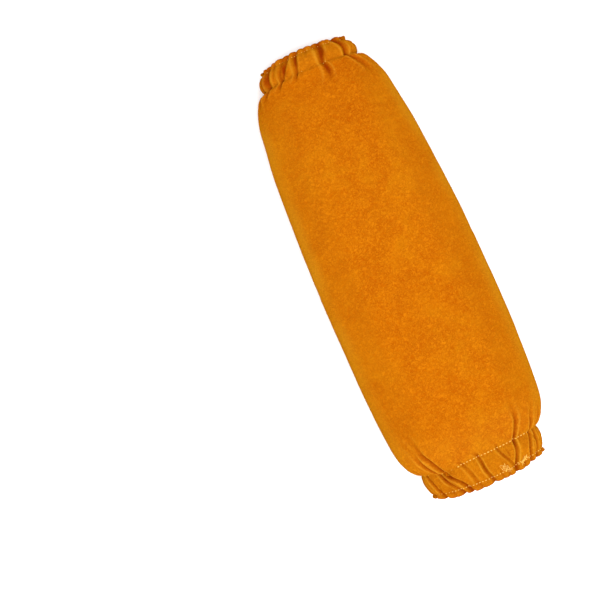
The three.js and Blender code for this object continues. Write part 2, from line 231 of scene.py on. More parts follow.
armCuff = {
    "depth": 30.3,
    "frill": 6.5,
    "hemWidth": 119.5, "rimWidth": 113.5,
    "hemHeight": 50, "rimHeight": 44,
    "hemLift": 2.5, "rimLift": 5,
    "rimBow": 5, "hemBow": 1.8,
    "puff": 1.1,
    "foldDepth": 3.1, "foldWidth": 1.6, "foldReach": 48,
    "foldOpen": 1.25,
    "ridgeWearAndHighlight": 0.9,
    "creaseFall": 0.9,
    "gatherSpacing": 8.5,
    "wrinkles": 34,
    "gatherDepth": 0.9,
    "rimNotch": 0.9,
    "rimSway": 0.35,
    "rimBack": 0,
    "cornerDraw": 2.2,
    "frillFlare": 0.7,
    "earFlare": 1.9,
    "sags": [{"around": 0.385, "shift": 3.0, "width": 0.06}],
    "shadePatches": table("around fromRim width run amount", [
        (0.385, 22, 0.02, 8, 0.3),
        (0.42, 9, 0.03, 5, 0.3),
        (0.185, 16, 0.02, 6, 0.2),
    ]),
    "seed": 8,
}

# Rings of the mesh: how many points each has, and where they lie
meshing = {
    "cuffPoints": 432,         # round the outside of a cuff
    "bodyPoints": 216,         # round the rest of the outside, and round the hidden layers
    "sectionPoints": 161,      # of the curve that half a section is taken from
    "rimTurns": (0, 18, 36, 54, 72, 90),   # degrees round the turned edge
    "cuffFrom": 2.4,           # the first ring past that edge
    "cuffRun": 52,             # length at each end that has the cuff's spacing
    "cuffStep": 1.0,
    "bodyStep": 4.0,
    "insideFrom": 3.2,         # the first ring of the inside past the edge
    "besideStitches": 1.2,     # the rings next to a stitch line
    "channelRings": 6,
    "shoulderRings": (1.5, 3, 5, 7.5, 10.5, 14, 18, 23, 29, 36),  # of the inside, past a hem line
    "middleFrom": 43,
    "middleRings": 20,
}


def clamp(value):
    return np.clip(value, 0, 1)


def ease(value):
    return clamp(value) ** 2 * (3 - 2 * clamp(value))


def mix(start, end, share):
    return start + (end - start) * share


# A smooth curve through one column of a table, which never overshoots its rows
def curveThrough(rows, column):
    at = np.array([row["along"] for row in rows])
    value = np.array([row[column] for row in rows])
    slope = np.diff(value) / np.diff(at)
    before = np.append(slope[0], slope)
    after = np.append(slope, slope[-1])
    safe = np.where(before * after > 0, before + after, 1)
    tangent = np.where(before * after > 0, 2 * before * after / safe, 0)

    def curve(along):
        where = min(1, max(0, along))
        i = min(len(slope) - 1, int(np.searchsorted(at, where, side="right")) - 1)
        span = at[i + 1] - at[i]
        s = (where - at[i]) / span
        rise = value[i + 1] - value[i]
        start, end = tangent[i] * span, tangent[i + 1] * span
        return value[i] + s * (start + s * (3 * rise - 2 * start - end + s * (start + end - 2 * rise)))

    return curve


bodyFullness = curveThrough(bodyRows, "fullness")
bodyRise = curveThrough(bodyRows, "height")
cuffSpread = curveThrough(cuffRows, "spread")


# A station is a distance from the wrist's rim along the middle of the top
def placeOf(station):
    atWrist = station < sleeve["length"] / 2
    cuff = wristCuff if atWrist else armCuff
    fromRim = station if atWrist else sleeve["length"] - station
    bodyLength = sleeve["length"] - wristCuff["depth"] - armCuff["depth"]
    return {
        "cuff": cuff,
        "fromRim": fromRim,
        "sign": 1 if atWrist else -1,
        "intoBody": fromRim - cuff["depth"],
        "along": (station - wristCuff["depth"]) / bodyLength,
    }


# Half of a rounded section, at shares of its length from its +X end
def halfSection(halfWidth, height, roundness, share):
    angle = np.linspace(0, math.pi, meshing["sectionPoints"])
    across = np.sign(np.cos(angle)) * np.abs(np.cos(angle)) ** (2 / roundness)
    x, z = halfWidth * across, height * np.abs(np.sin(angle)) ** (2 / roundness)
    length = np.append(0, np.cumsum(np.hypot(np.diff(x), np.diff(z))))
    at = clamp(share) * length[-1]
    return np.interp(at, length, x), np.interp(at, length, z)


# The sleeve's outside without its folds, at shares of the way round
def envelopeRing(station, around):
    place = placeOf(station)
    cuff, fromRim = place["cuff"], place["fromRim"]
    spread = cuffSpread(fromRim / cuff["depth"])
    fullness, rise = bodyFullness(place["along"]), bodyRise(place["along"])
    width = mix(mix(cuff["rimWidth"], cuff["hemWidth"], spread), sleeve["bodyWidth"], fullness)
    cuffLow = mix(cuff["rimLift"], cuff["hemLift"], spread)
    low = mix(cuffLow, -sleeve["bellyPress"], ease(rise / sleeve["restsFrom"]))
    top = mix(low + mix(cuff["rimHeight"], cuff["hemHeight"], spread), sleeve["bodyHeight"], rise)
    bow = mix(cuff["rimBow"], cuff["hemBow"], clamp(fromRim / cuff["depth"]))
    bow *= 1 - ease(place["intoBody"] / sleeve["bowFade"])
    over, under = (
        mix(cuffEnd, bodyEnd, rise)
        for cuffEnd, bodyEnd in zip(sleeve["cuffRoundness"], sleeve["bodyRoundness"])
    )
    side = mix(low, top, sleeve["sideLine"])
    turn = around - np.floor(around)
    overX, overZ = halfSection(width / 2, top - side, over, 2 * turn)
    underX, underZ = halfSection(width / 2, side - low, under, 2 - 2 * turn)
    x = np.where(turn <= 0.5, overX, underX)
    z = np.where(turn <= 0.5, side + overZ, np.maximum(0, side - underZ))
    y = sleeve["length"] / 2 - station - place["sign"] * bow * (x / (width / 2)) ** 2
    return np.stack([x, y, z], axis=1)


def envelopeNormals(station, around):
    turnStep, stationStep = 0.002, 0.5
    roundWay = envelopeRing(station, around + turnStep) - envelopeRing(station, around - turnStep)
    before, after = max(0, station - stationStep), min(sleeve["length"], station + stationStep)
    alongWay = envelopeRing(after, around) - envelopeRing(before, around)
    normal = np.cross(roundWay, alongWay)
    return normal / np.linalg.norm(normal, axis=1, keepdims=True)


def apart(a, b):
    return a - b - np.round(a - b)  # signed, between two shares of the way round


# About the length round an ellipse
def roundLength(width, height):
    return math.pi * math.hypot(width, height) * math.sqrt(0.5)


# A narrow crease: 1 along its bottom, under 0 along its raised lips and 0 far from it
def crease(distance, width, lips, softness):
    off = np.abs(distance / width)
    valley = np.exp(softness - np.sqrt(off**2 + softness**2))
    return valley - lips * np.exp(-(((off - foldShape["lipPlace"]) / foldShape["lipWidth"]) ** 2))


# The small folds that the elastic draws between the main ones, unevenly spaced
def smallFolds(cuff, mains, random):
    rims = sorted(fold["rim"] for fold in mains)
    rimRound = roundLength(cuff["rimWidth"], cuff["rimHeight"])
    made = []
    for left, right in zip(rims, rims[1:] + [rims[0] + 1]):
        spaces = max(1, round((right - left) * rimRound / cuff["gatherSpacing"]))
        for k in range(1, spaces):
            rim = left + (right - left) * (k + random.uniform(*smallFold["shift"])) / spaces
            hem = rim + random.normal(0, smallFold["hemSpread"])
            made.append({
                "rim": rim,
                "hem": hem,
                "end": hem + random.normal(0, smallFold["endSpread"]),
                "depth": random.uniform(*smallFold["depth"]),
                "width": random.uniform(*smallFold["width"]),
                "reach": random.uniform(*smallFold["reach"]),
                "small": True,
            })
    return made


# Fine creases between the rim and the hem line, which fade out at both ends
def fineWrinkles(cuff, random):
    made = []
    for _ in range(cuff["wrinkles"]):
        around, start = random.uniform(0, 1), random.uniform(*wrinkle["start"]) * cuff["depth"]
        made.append({
            "from": start,
            "to": start + random.uniform(*wrinkle["length"]) * cuff["depth"],
            "start": around,
            "stop": around + random.normal(*wrinkle["drift"]),
            "depth": random.uniform(*wrinkle["depth"]),
            "width": random.uniform(*wrinkle["width"]),
        })
    return made


# Where the rim is drawn back, each with its depth and how far the rim there is out of line
def rimNotches(cuff, random):
    made = sorted((fold["rim"] % 1, fold["depth"], random.normal(0, 1)) for fold in cuff["folds"])
    return [np.array(column) for column in zip(*made)]


for cuff, mains in ((wristCuff, wristFolds), (armCuff, armFolds)):
    random = np.random.default_rng(cuff["seed"])
    cuff["folds"] = mains + smallFolds(cuff, mains, random)
    cuff["creases"] = fineWrinkles(cuff, random)
    cuff["notches"] = rimNotches(cuff, random)


# How far the rim lies behind its plain line: round lobes between the folds
def rimDraw(cuff, around, outward):
    at, depth, sway = cuff["notches"]
    right = np.searchsorted(at, around, side="right") % len(at)
    left = right - 1
    share = ((around - at[left]) % 1) / ((at[right] - at[left]) % 1)
    notch = np.abs(2 * share - 1) ** frillShape["notchPower"]
    lobe = np.where(share < 0.5, depth[left], depth[right]) * notch
    made = cuff["rimNotch"] * lobe + cuff["rimSway"] * mix(sway[left], sway[right], ease(share))
    return made + cuff["rimBack"] + cuff["cornerDraw"] * outward ** frillShape["cornerPower"]


def wavers(pace, fromRim, i):
    return math.sin(pace[0] * fromRim + pace[1] * i)


# How deep the leather is folded in, as a share of the cuff's fold depth
def foldShare(station, around):
    place = placeOf(station)
    cuff, fromRim, intoBody = place["cuff"], place["fromRim"], place["intoBody"]
    cuffRound = roundLength(cuff["hemWidth"], cuff["hemHeight"])
    flat = np.ones_like(around)
    sharpness = clamp(fromRim / (foldShape["sharpFrom"] * cuff["frill"]))
    softness = mix(*foldShape["softness"], sharpness)
    lipShare = mix(*foldShape["lipShare"], sharpness)
    for i, fold in enumerate(cuff["folds"]):
        run = intoBody / (fold["reach"] * cuff["foldReach"] + cuff["frill"])
        if intoBody < 0:
            centre = mix(fold["rim"], fold["hem"], fromRim / cuff["depth"])
        else:
            centre = mix(fold["hem"], fold["end"], clamp(run))
        centre += sleeve["foldSway"] * wavers(foldShape["swayPace"], fromRim, i) / cuffRound
        distance = apart(around, centre)
        opened = mix(cuff["foldOpen"], 1, clamp(fromRim / cuff["depth"]))
        opened = opened * (1 + foldShape["widening"] * clamp(run))
        width = fold["width"] * cuff["foldWidth"] * opened / cuffRound
        slant = foldShape["lean"] * (fold["hem"] - fold["rim"])
        lean = np.clip(slant, -foldShape["mostLean"], foldShape["mostLean"])
        width = width * (1 + lean * np.tanh(distance / width))
        wave, lips = foldShape["depthWave"], foldShape["lips"]
        depth = fold["depth"] * (1 - wave + wave * wavers(foldShape["depthPace"], fromRim, i))
        if "small" in fold:
            pastFrill = (fromRim - cuff["frill"]) / (foldShape["smallRun"] * cuff["depth"])
            fromHem = (fromRim - cuff["depth"]) / foldShape["smallHemRun"]
            atHem = foldShape["smallAtHem"] * math.exp(-(fromHem**2))
            depth *= 1 - foldShape["smallFade"] * ease(pastFrill) + atHem
            lips = foldShape["smallLips"]
        flat *= 1 - depth * crease(distance, width, lips * lipShare, softness) * (1 - ease(run))
    lips, softness = foldShape["wrinkleLips"], foldShape["softness"][1]
    for fold in cuff["creases"]:
        share = (fromRim - fold["from"]) / (fold["to"] - fold["from"])
        if 0 < share < 1:
            distance = apart(around, mix(fold["start"], fold["stop"], share))
            width = fold["width"] * cuff["foldWidth"] / cuffRound
            depth = fold["depth"] * math.sin(math.pi * share)
            flat *= 1 - depth * crease(distance, width, lips, softness)
    return 1 - flat


# How far the body sags over the hem line, towards the rim
def hemSag(cuff, fromRim, around):
    moved = np.zeros_like(around)
    for sag in cuff["sags"]:
        moved += sag["shift"] * np.exp(-((apart(around, sag["around"]) / sag["width"]) ** 2))
    return moved * math.exp(-(((fromRim - cuff["depth"]) / sleeve["sagRun"]) ** 2))


# How far below the envelope the outer face lies
def foldDrop(station, around):
    place = placeOf(station)
    cuff, fromRim, intoBody = place["cuff"], place["fromRim"], place["intoBody"]
    swell = clamp((fromRim - cuff["frill"]) / (cuff["depth"] - cuff["frill"]))
    puff = cuff["puff"] * math.sin(math.pi * swell)
    fromSeam = apart(around, sleeve["seamAround"])
    fromSeam = fromSeam * roundLength(sleeve["bodyWidth"], sleeve["bodyHeight"])
    seam = np.exp(-((fromSeam / sleeve["seamWidth"]) ** 2)) * ease(intoBody / sleeve["seamFade"])
    sink = sum(
        math.exp(-(((fromRim - row) / sleeve["stitchSinkWidth"]) ** 2))
        for row in (cuff["frill"], cuff["depth"])
    )
    share = foldShare(station, around)
    ear = cuff["earFlare"] * np.abs(np.cos(2 * math.pi * around)) ** frillShape["earPower"]
    flare = (cuff["frillFlare"] + ear) * clamp(1 - fromRim / cuff["frill"])
    flare = flare * (1 - frillShape["tuck"] * share)
    pulled = sleeve["seamDepth"] * seam + sleeve["stitchSink"] * sink
    return cuff["foldDepth"] * share - puff - flare + pulled


def bandDrop(cuff):
    return cuff["foldDepth"] + sleeve["leather"] + sleeve["clearance"]


# How far below the envelope the turned-in hem's channel face lies
def hemDrop(station, around):
    place = placeOf(station)
    cuff, fromRim = place["cuff"], place["fromRim"]
    nearest = min(fromRim - cuff["frill"], cuff["depth"] - fromRim)
    pinched = foldDrop(station, around) + sleeve["leather"] + sleeve["clearance"]
    clearOfElastic = bandDrop(cuff) + sleeve["elastic"] + sleeve["clearance"]
    opened = clearOfElastic + cuff["gatherDepth"] * foldShare(station, around)
    return mix(pinched, opened, ease(nearest / sleeve["pinchRun"]))


def leatherDrop(station, around):
    return foldDrop(station, around) + sleeve["leather"]


def hemInnerDrop(station, around):
    return hemDrop(station, around) + sleeve["leather"]


# Soft dents and small unevenness of the hide
def hideNoise(points):
    made = np.empty(len(points))
    for i, point in enumerate(points):
        p = Vector(point)
        dent = noise.noise(p / sleeve["dentSize"])
        ripple = noise.noise(p / sleeve["rippleSize"] + Vector(sleeve["rippleShift"]))
        made[i] = sleeve["dentDepth"] * dent + sleeve["rippleDepth"] * ripple
    return made


rimRadius = sleeve["leather"] + sleeve["clearance"] / 2  # of the turned edge


# A ring of points, each dropped below the envelope by what the layer says. Side is 1 for a face that
# looks out and -1 for one that looks in, and both curl round to meet at the rim.
def ring(station, count, drop, side=1):
    around = np.arange(count) / count
    place = placeOf(station)
    cuff, fromRim = place["cuff"], place["fromRim"]
    below = drop(station, around) if callable(drop) else drop
    if fromRim < rimRadius:
        below = below + side * (rimRadius - math.sqrt(rimRadius**2 - (rimRadius - fromRim) ** 2))
    points = envelopeRing(station, around)
    inBody = ease(place["intoBody"] / sleeve["hideFade"])
    if inBody > 0:
        below = below + hideNoise(points) * inBody
    points -= envelopeNormals(station, around) * np.reshape(below, (-1, 1))
    if fromRim < cuff["frill"]:
        outward = np.abs(points[:, 0]) / (cuff["rimWidth"] / 2)
        points[:, 1] -= place["sign"] * (1 - fromRim / cuff["frill"]) * rimDraw(cuff, around, outward)
    if drop is foldDrop:
        points[:, 1] += place["sign"] * hemSag(cuff, fromRim, around)
    points[:, 2] = np.maximum(0 if side > 0 else sleeve["leather"], points[:, 2])
    return points


# Faces between two rings of equal count, or where one has twice as many points as the other
def bridge(start, count, nextStart, nextCount):
    faces = []
    if count == nextCount:
        for i in range(count):
            j = (i + 1) % count
            faces.append((nextStart + i, start + i, start + j, nextStart + j))
    elif count > nextCount:
        for i in range(nextCount):
            j = (i + 1) % nextCount
            a, b, c = 2 * i, 2 * i + 1, (2 * i + 2) % count
            faces.append((nextStart + i, start + a, start + b))
            faces.append((nextStart + i, start + b, nextStart + j))
            faces.append((nextStart + j, start + b, start + c))
    else:
        for i in range(count):
            j = (i + 1) % count
            a, b, c = 2 * i, 2 * i + 1, (2 * i + 2) % nextCount
            faces.append((nextStart + a, start + i, nextStart + b))
            faces.append((nextStart + b, start + i, start + j))
            faces.append((nextStart + b, start + j, nextStart + c))
    return faces


def addToScene(made):
    bpy.context.scene.collection.objects.link(made)
    return made


def meshObject(name, points, faces):
    mesh = bpy.data.meshes.new(name)
    mesh.from_pydata([tuple(p) for p in np.asarray(points) * mm], [], faces)
    mesh.update()
    mesh.shade_smooth()
    return addToScene(bpy.data.objects.new(name, mesh))


# Distances from a rim at which the rings of the rounded edge lie
def rimSteps():
    return [rimRadius * (1 - math.cos(math.radians(turn))) for turn in meshing["rimTurns"]]


def stationsOf(cuff, distances):
    return distances if cuff is wristCuff else [sleeve["length"] - d for d in distances]


# The rings of a cuff's hidden layers, each list running from the rim towards the body
def hemLayers(cuff):
    inner, beside = meshing["bodyPoints"], meshing["besideStitches"]
    runStart = cuff["frill"] + sleeve["pinchRun"]
    runEnd = cuff["depth"] - sleeve["pinchRun"]
    channel = [cuff["frill"], cuff["frill"] + beside]
    channel += list(np.linspace(runStart, runEnd, meshing["channelRings"]))
    channel += [cuff["depth"] - beside, cuff["depth"]]
    onwards = -sleeve["hemAllowance"] if cuff is wristCuff else sleeve["hemAllowance"]
    inside = rimSteps()[1:] + [meshing["insideFrom"]] + channel

    def layer(distances, drop, side):
        return [ring(s, inner, drop, side) for s in stationsOf(cuff, distances)]

    def withFreeEdge(rings):
        return [*rings, rings[-1] + [0, onwards / 2, 0], rings[-1] + [0, onwards, 0]]

    return {
        "wall": layer(channel, leatherDrop, -1),
        "channel": withFreeEdge(layer(channel, hemDrop, 1)),
        "inside": withFreeEdge(layer(inside, hemInnerDrop, -1)),
    }


# Where each tone of the outside begins, besides the hide's own patches, and where it is full
toneBands = {
    "wristwardShade": (150, 200),  # painted shade towards the wrist end, from the sleeve's middle
    # painted light: the arm end lighter and yellower, from the sleeve's middle
    "armwardLight": (-150, -178),
    "cuff": (6, -2),           # from the hem line into the body
    "shoulder": (0.4, 0.68),   # painted shade on the shoulders: shares of the half width
    # painted sheen along the two sides, in shares of the half width
    "edge": (0.8, 0.97),
    "edgeHeight": (4, 24),     # over the floor
    "under": (0.7, 0.48),      # painted shade on the underside: shares of the section's height
    "rim": (1.8, 0.4),         # painted shade on the turned edge, from the rim
    "bodyFade": 50,            # length of body over which its bands come in
    "patchSize": 34,           # of the patches in the painted sheen along the sides
    "patchStrength": 0.9,
    "ridgeStrength": 5,        # how soon a raised lip shows as a ridge
}


def comesIn(value, span):
    return ease((value - span[0]) / (span[1] - span[0]))


# How much a cuff's redder patches of painted shade, where the leather is folded under, add to the painted
# shade of its folds
def foldedUnderShade(cuff, fromRim, around):
    made = np.zeros_like(around)
    for patch in cuff["shadePatches"]:
        aside = apart(around, patch["around"]) / patch["width"]
        made += patch["amount"] * np.exp(-(aside**2) - ((fromRim - patch["fromRim"]) / patch["run"]) ** 2)
    return made


# How much of each tone every point of a ring shows, from 0 to 1. All but the cuff's are painted light or
# shade, and the ridges' is wear with a painted highlight
def toneMeasures(station, around):
    place = placeOf(station)
    cuff, fromRim = place["cuff"], place["fromRim"]
    share, points = foldShare(station, around), envelopeRing(station, around)
    across = np.abs(points[:, 0]) / np.abs(points[:, 0]).max()
    inBody = ease(place["intoBody"] / toneBands["bodyFade"])
    inCuff = comesIn(place["intoBody"], toneBands["cuff"]) * np.ones_like(around)
    patches = np.array([noise.noise(Vector(p) / toneBands["patchSize"]) for p in points])
    # patches that break up the painted sheen along the sides
    wearAndHighlight = 1 + toneBands["patchStrength"] * patches
    edge = comesIn(across, toneBands["edge"]) * comesIn(points[:, 2], toneBands["edgeHeight"])
    height = (points[:, 2] - points[:, 2].min()) / np.ptp(points[:, 2])
    return {
        "wristwardShade": comesIn(points[:, 1], toneBands["wristwardShade"]),
        "armwardLight": comesIn(points[:, 1], toneBands["armwardLight"]) * (1 - inCuff),
        "cuff": inCuff,
        "shoulder": comesIn(across, toneBands["shoulder"]) * inBody,
        "edge": edge * wearAndHighlight * inBody,
        "under": comesIn(height, toneBands["under"]),
        "ridge": clamp(-toneBands["ridgeStrength"] * share) * cuff["ridgeWearAndHighlight"],
        # painted shade in the folds' bottoms and in the folded-under patches
        "crease": clamp(clamp(share) ** cuff["creaseFall"] + foldedUnderShade(cuff, fromRim, around)),
        "rim": comesIn(fromRim, toneBands["rim"]) * np.ones_like(around),
    }


def makeLeather():
    cuffEnd, length = meshing["cuffRun"], sleeve["length"]
    outer, inner = meshing["cuffPoints"], meshing["bodyPoints"]
    near = [*rimSteps(), *np.arange(meshing["cuffFrom"], cuffEnd, meshing["cuffStep"])]
    middle = np.linspace(cuffEnd, length - cuffEnd, round((length - 2 * cuffEnd) / meshing["bodyStep"]))
    outerRings = [(s, outer) for s in near] + [(s, inner) for s in middle]
    outerRings += [(length - d, outer) for d in reversed(near)]
    bodyStart, bodyEnd = wristCuff["depth"], length - armCuff["depth"]
    shoulder, middleFrom = meshing["shoulderRings"], meshing["middleFrom"]
    inBody = [bodyStart + d for d in shoulder]
    inBody += list(np.linspace(bodyStart + middleFrom, bodyEnd - middleFrom, meshing["middleRings"]))
    inBody += [bodyEnd - d for d in reversed(shoulder)]
    wrist, arm = hemLayers(wristCuff), hemLayers(armCuff)
    rings = [
        *[ring(s, count, foldDrop) for s, count in outerRings],
        *arm["inside"],
        *reversed(arm["channel"]),
        *arm["wall"],
        *[ring(s, inner, leatherDrop, -1) for s in reversed(inBody)],
        *reversed(wrist["wall"]),
        *wrist["channel"],
        *reversed(wrist["inside"]),
    ]
    starts = np.append(0, np.cumsum([len(r) for r in rings]))
    faces = []
    for i, r in enumerate(rings):
        j = (i + 1) % len(rings)
        faces += bridge(int(starts[i]), len(r), int(starts[j]), len(rings[j]))
    leather = meshObject("suede_tube", np.concatenate(rings), faces)
    measured = [toneMeasures(s, np.arange(count) / count) for s, count in outerRings]
    for name in measured[0]:
        value = np.zeros(len(leather.data.vertices), dtype=np.float32)
        seen = np.concatenate([measures[name] for measures in measured])
        value[:len(seen)] = seen
        leather.data.attributes.new(name, "FLOAT", "POINT").data.foreach_set("value", value)
    triangles = sum(len(face) - 2 for face in faces)
    print("suede tube:", triangles, "triangles")
    return leather


leather = makeLeather()

# Stitch rows: a thread that comes up and goes down again at every pitch. Runs are shares of the way
# round, with how far they are shifted from the row: a machine sews past its own start.
stitching = {
    "length": 0.65,      # share of the pitch that shows
    "vary": (0.85, 1.1),
    "rise": 0.4,         # of the thread's middle over the leather
    "arch": 0.6,         # how round that rise is: 1 is a sine, less is flatter on top
    "dip": 0.25,         # of its ends under the leather
    "taper": (0.09, 0.82),   # the part of a half turn that its thickness follows: start and length
    "sides": 8,
    "steps": 7,
    "skew": 0.16,        # how unevenly the stitches turn, in radians
    "bury": 0.25,        # how unevenly they sink into the nap
    "edge": 0.015,       # over which a row goes down into the nap, as a share of the way round
    "pathPoints": 1440,  # of the line that a row follows all the way round
    "seed": 11,
}
# A loose end, which wanders in a few loops
looseEnd = {
    "thread": 0.36,      # thickness, as a share of the row's thread
    "pointsPerLoop": 36,
    "loop": 0.6, "wander": 0.4,        # shares of its size
    "alongPace": 2.37, "acrossPace": 1.71,
    "lift": 0.3, "wave": 1.2,          # off the leather, in its own radius
    "wavePace": 3.1,
}
rows = [
    {"name": "wrist_rim_stitches", "cuff": wristCuff, "fromRim": wristCuff["frill"],
     "pitch": 2.9, "thread": 0.62, "runs": [(0, 1, 0), (0.68, 0.78, 1.2)], "sunk": [(0, 1, 0.08)]},
    {"name": "wrist_hem_stitches", "cuff": wristCuff, "fromRim": wristCuff["depth"],
     "pitch": 2.9, "thread": 0.58, "runs": [(0, 1, 0), (0.7, 0.78, 1.2)],
     "sunk": [(0, 0.175, 0.35), (0.205, 0.27, 0.3), (0.31, 1, 0.35)]},
    {"name": "arm_rim_stitches", "cuff": armCuff, "fromRim": armCuff["frill"],
     "pitch": 3.3, "thread": 0.95, "runs": [(0, 1, 0), (0.1, 0.15, 1.4)], "sunk": [(0.4, 0.6, 0.35)],
     "tangles": table("around fromRim size loops", [
         (0.196, 10, 4.6, 3), (0.184, 6.5, 3, 2), (0.122, 7.5, 4, 3)])},
    {"name": "arm_hem_stitches", "cuff": armCuff, "fromRim": armCuff["depth"],
     "pitch": 3.45, "thread": 1.1, "runs": [(0, 1, 0), (0.7, 0.77, 1.3)],
     "sunk": [(0.0, 0.085, 0.4), (0.345, 0.52, 0.5)]},
]


# How deep the nap hides a row there
def sunkAt(row, around):
    edge = stitching["edge"]
    return sum(
        depth * ease((around - start) / edge + 0.5) * ease((end - around) / edge + 0.5)
        for start, end, depth in row["sunk"]
    )


def unit(vectors):
    return vectors / np.linalg.norm(vectors, axis=1, keepdims=True)


# A round thread along a path: its points and faces
def threadTube(centre, normal, radius, firstPoint):
    sides, steps = stitching["sides"], len(centre)
    angle = 2 * math.pi * np.arange(sides) / sides
    aside = unit(np.cross(np.gradient(centre, axis=0), normal))
    points = []
    for k in range(steps):
        offset = np.outer(np.cos(angle), aside[k]) + np.outer(np.sin(angle), normal[k])
        points += list(centre[k] + offset * radius[k])
    faces = [
        (firstPoint + k * sides + a, firstPoint + k * sides + (a + 1) % sides,
         firstPoint + (k + 1) * sides + (a + 1) % sides, firstPoint + (k + 1) * sides + a)
        for k in range(steps - 1) for a in range(sides)
    ]
    faces.append(tuple(firstPoint + a for a in reversed(range(sides))))
    faces.append(tuple(firstPoint + (steps - 1) * sides + a for a in range(sides)))
    return points, faces


def stitchRun(row, run, random, points, faces):
    runStart, runEnd, shift = run
    steps = stitching["steps"]
    share = np.linspace(0, 1, steps)
    station = stationsOf(row["cuff"], [row["fromRim"] + shift])[0]
    around = np.linspace(runStart, runEnd, round(stitching["pathPoints"] * (runEnd - runStart)) + 1)
    out = envelopeNormals(station, around)
    path = envelopeRing(station, around) - out * foldDrop(station, around)[:, None]
    path[:, 1] += placeOf(station)["sign"] * hemSag(row["cuff"], row["fromRim"] + shift, around)
    length = np.append(0, np.cumsum(np.linalg.norm(np.diff(path, axis=0), axis=1)))
    taperStart, taperLength = stitching["taper"]
    made = round(length[-1] / row["pitch"])
    for i in range(made):
        middle = (i + 0.5) * length[-1] / made
        half = row["pitch"] * stitching["length"] / 2 * random.uniform(*stitching["vary"])
        hidden = sunkAt(row, np.interp(middle, length, around))
        at = np.clip(middle + np.linspace(-half, half, steps), 0, length[-1])
        centre = np.stack([np.interp(at, length, path[:, k]) for k in range(3)], axis=1)
        normal = unit(np.stack([np.interp(at, length, out[:, k]) for k in range(3)], axis=1))
        aside = unit(np.cross(np.gradient(centre, axis=0), normal))
        centre += aside * ((at - middle) * random.normal(0, stitching["skew"]))[:, None]
        lift = stitching["rise"] * np.sin(math.pi * share) ** stitching["arch"] - stitching["dip"]
        centre += normal * (lift - hidden - random.uniform(0, stitching["bury"]))[:, None]
        radius = row["thread"] / 2 * np.sin(math.pi * (taperStart + taperLength * share)) ** 0.5
        stitchPoints, stitchFaces = threadTube(centre, normal, radius, len(points))
        points += stitchPoints
        faces += stitchFaces
    return made


def looseThread(row, tangle, random, points, faces):
    cuff, loop, wander = row["cuff"], looseEnd["loop"], looseEnd["wander"]
    turn = np.linspace(0, 2 * math.pi * tangle["loops"], looseEnd["pointsPerLoop"] * tangle["loops"])
    phase = random.uniform(0, 2 * math.pi, 4)
    along = loop * np.sin(turn + phase[0]) + wander * np.sin(looseEnd["alongPace"] * turn + phase[1])
    across = loop * np.cos(turn + phase[2]) + wander * np.sin(looseEnd["acrossPace"] * turn + phase[3])
    along, across = tangle["size"] * along, tangle["size"] * across
    around = tangle["around"] + across / roundLength(cuff["hemWidth"], cuff["hemHeight"])
    centre, normal = [], []
    for fromRim, share in zip(tangle["fromRim"] + along, around):
        station = stationsOf(cuff, [fromRim])[0]
        share = np.array([share])
        out = envelopeNormals(station, share)
        centre.append((envelopeRing(station, share) - out * foldDrop(station, share)[:, None])[0])
        normal.append(out[0])
    normal = np.array(normal)
    radius = np.full(len(turn), row["thread"] * looseEnd["thread"] / 2)
    lift = radius * (looseEnd["lift"] + looseEnd["wave"] * np.sin(looseEnd["wavePace"] * turn))
    centre = np.array(centre) + normal * lift[:, None]
    threadPoints, threadFaces = threadTube(centre, normal, radius, len(points))
    points += threadPoints
    faces += threadFaces


def stitchRow(row):
    random = np.random.default_rng(stitching["seed"])
    points, faces = [], []
    count = sum(stitchRun(row, run, random, points, faces) for run in row["runs"])
    for tangle in row.get("tangles", []):
        looseThread(row, tangle, random, points, faces)
    print(row["name"] + ":", count, "stitches")
    return meshObject(row["name"], points, faces)


stitches = [stitchRow(row) for row in rows]


# Shader helpers
def addNode(tree, kind, **values):
    node = tree.nodes.new(kind)
    for key, value in values.items():
        if hasattr(node, key):
            setattr(node, key, value)
        else:
            node.inputs[key].default_value = value
    return node


def setSockets(node, sockets):
    for name, value in sockets.items():
        node.inputs[name].default_value = value


# Links a socket where the value is another node's output, and otherwise sets it
def feed(tree, socket, value):
    if isinstance(value, bpy.types.NodeSocket):
        tree.links.new(value, socket)
    else:
        socket.default_value = value


def addMath(tree, operation, first, second, clamped=False):
    node = addNode(tree, "ShaderNodeMath", operation=operation, use_clamp=clamped)
    feed(tree, node.inputs[0], first)
    feed(tree, node.inputs[1], second)
    return node.outputs[0]


def mixColour(tree, factor, first, second):
    node = addNode(tree, "ShaderNodeMix", data_type="RGBA")
    for i, value in ((0, factor), (6, first), (7, second)):
        feed(tree, node.inputs[i], value)
    return node.outputs[2]


def addBump(tree, shader, height, strength, distance):
    bump = addNode(tree, "ShaderNodeBump", Strength=strength, Distance=distance)
    tree.links.new(height, bump.inputs["Height"])
    tree.links.new(bump.outputs["Normal"], shader.inputs["Normal"])


def groupWith(name, inputs, output):
    group = bpy.data.node_groups.new(name, "ShaderNodeTree")
    for socket, kind, value in inputs:
        made = group.interface.new_socket(name=socket, in_out="INPUT", socket_type=kind)
        if value is not None:
            made.default_value = value
    group.interface.new_socket(name=output, in_out="OUTPUT", socket_type="NodeSocketFloat")
    return group, group.nodes.new("NodeGroupInput"), group.nodes.new("NodeGroupOutput")


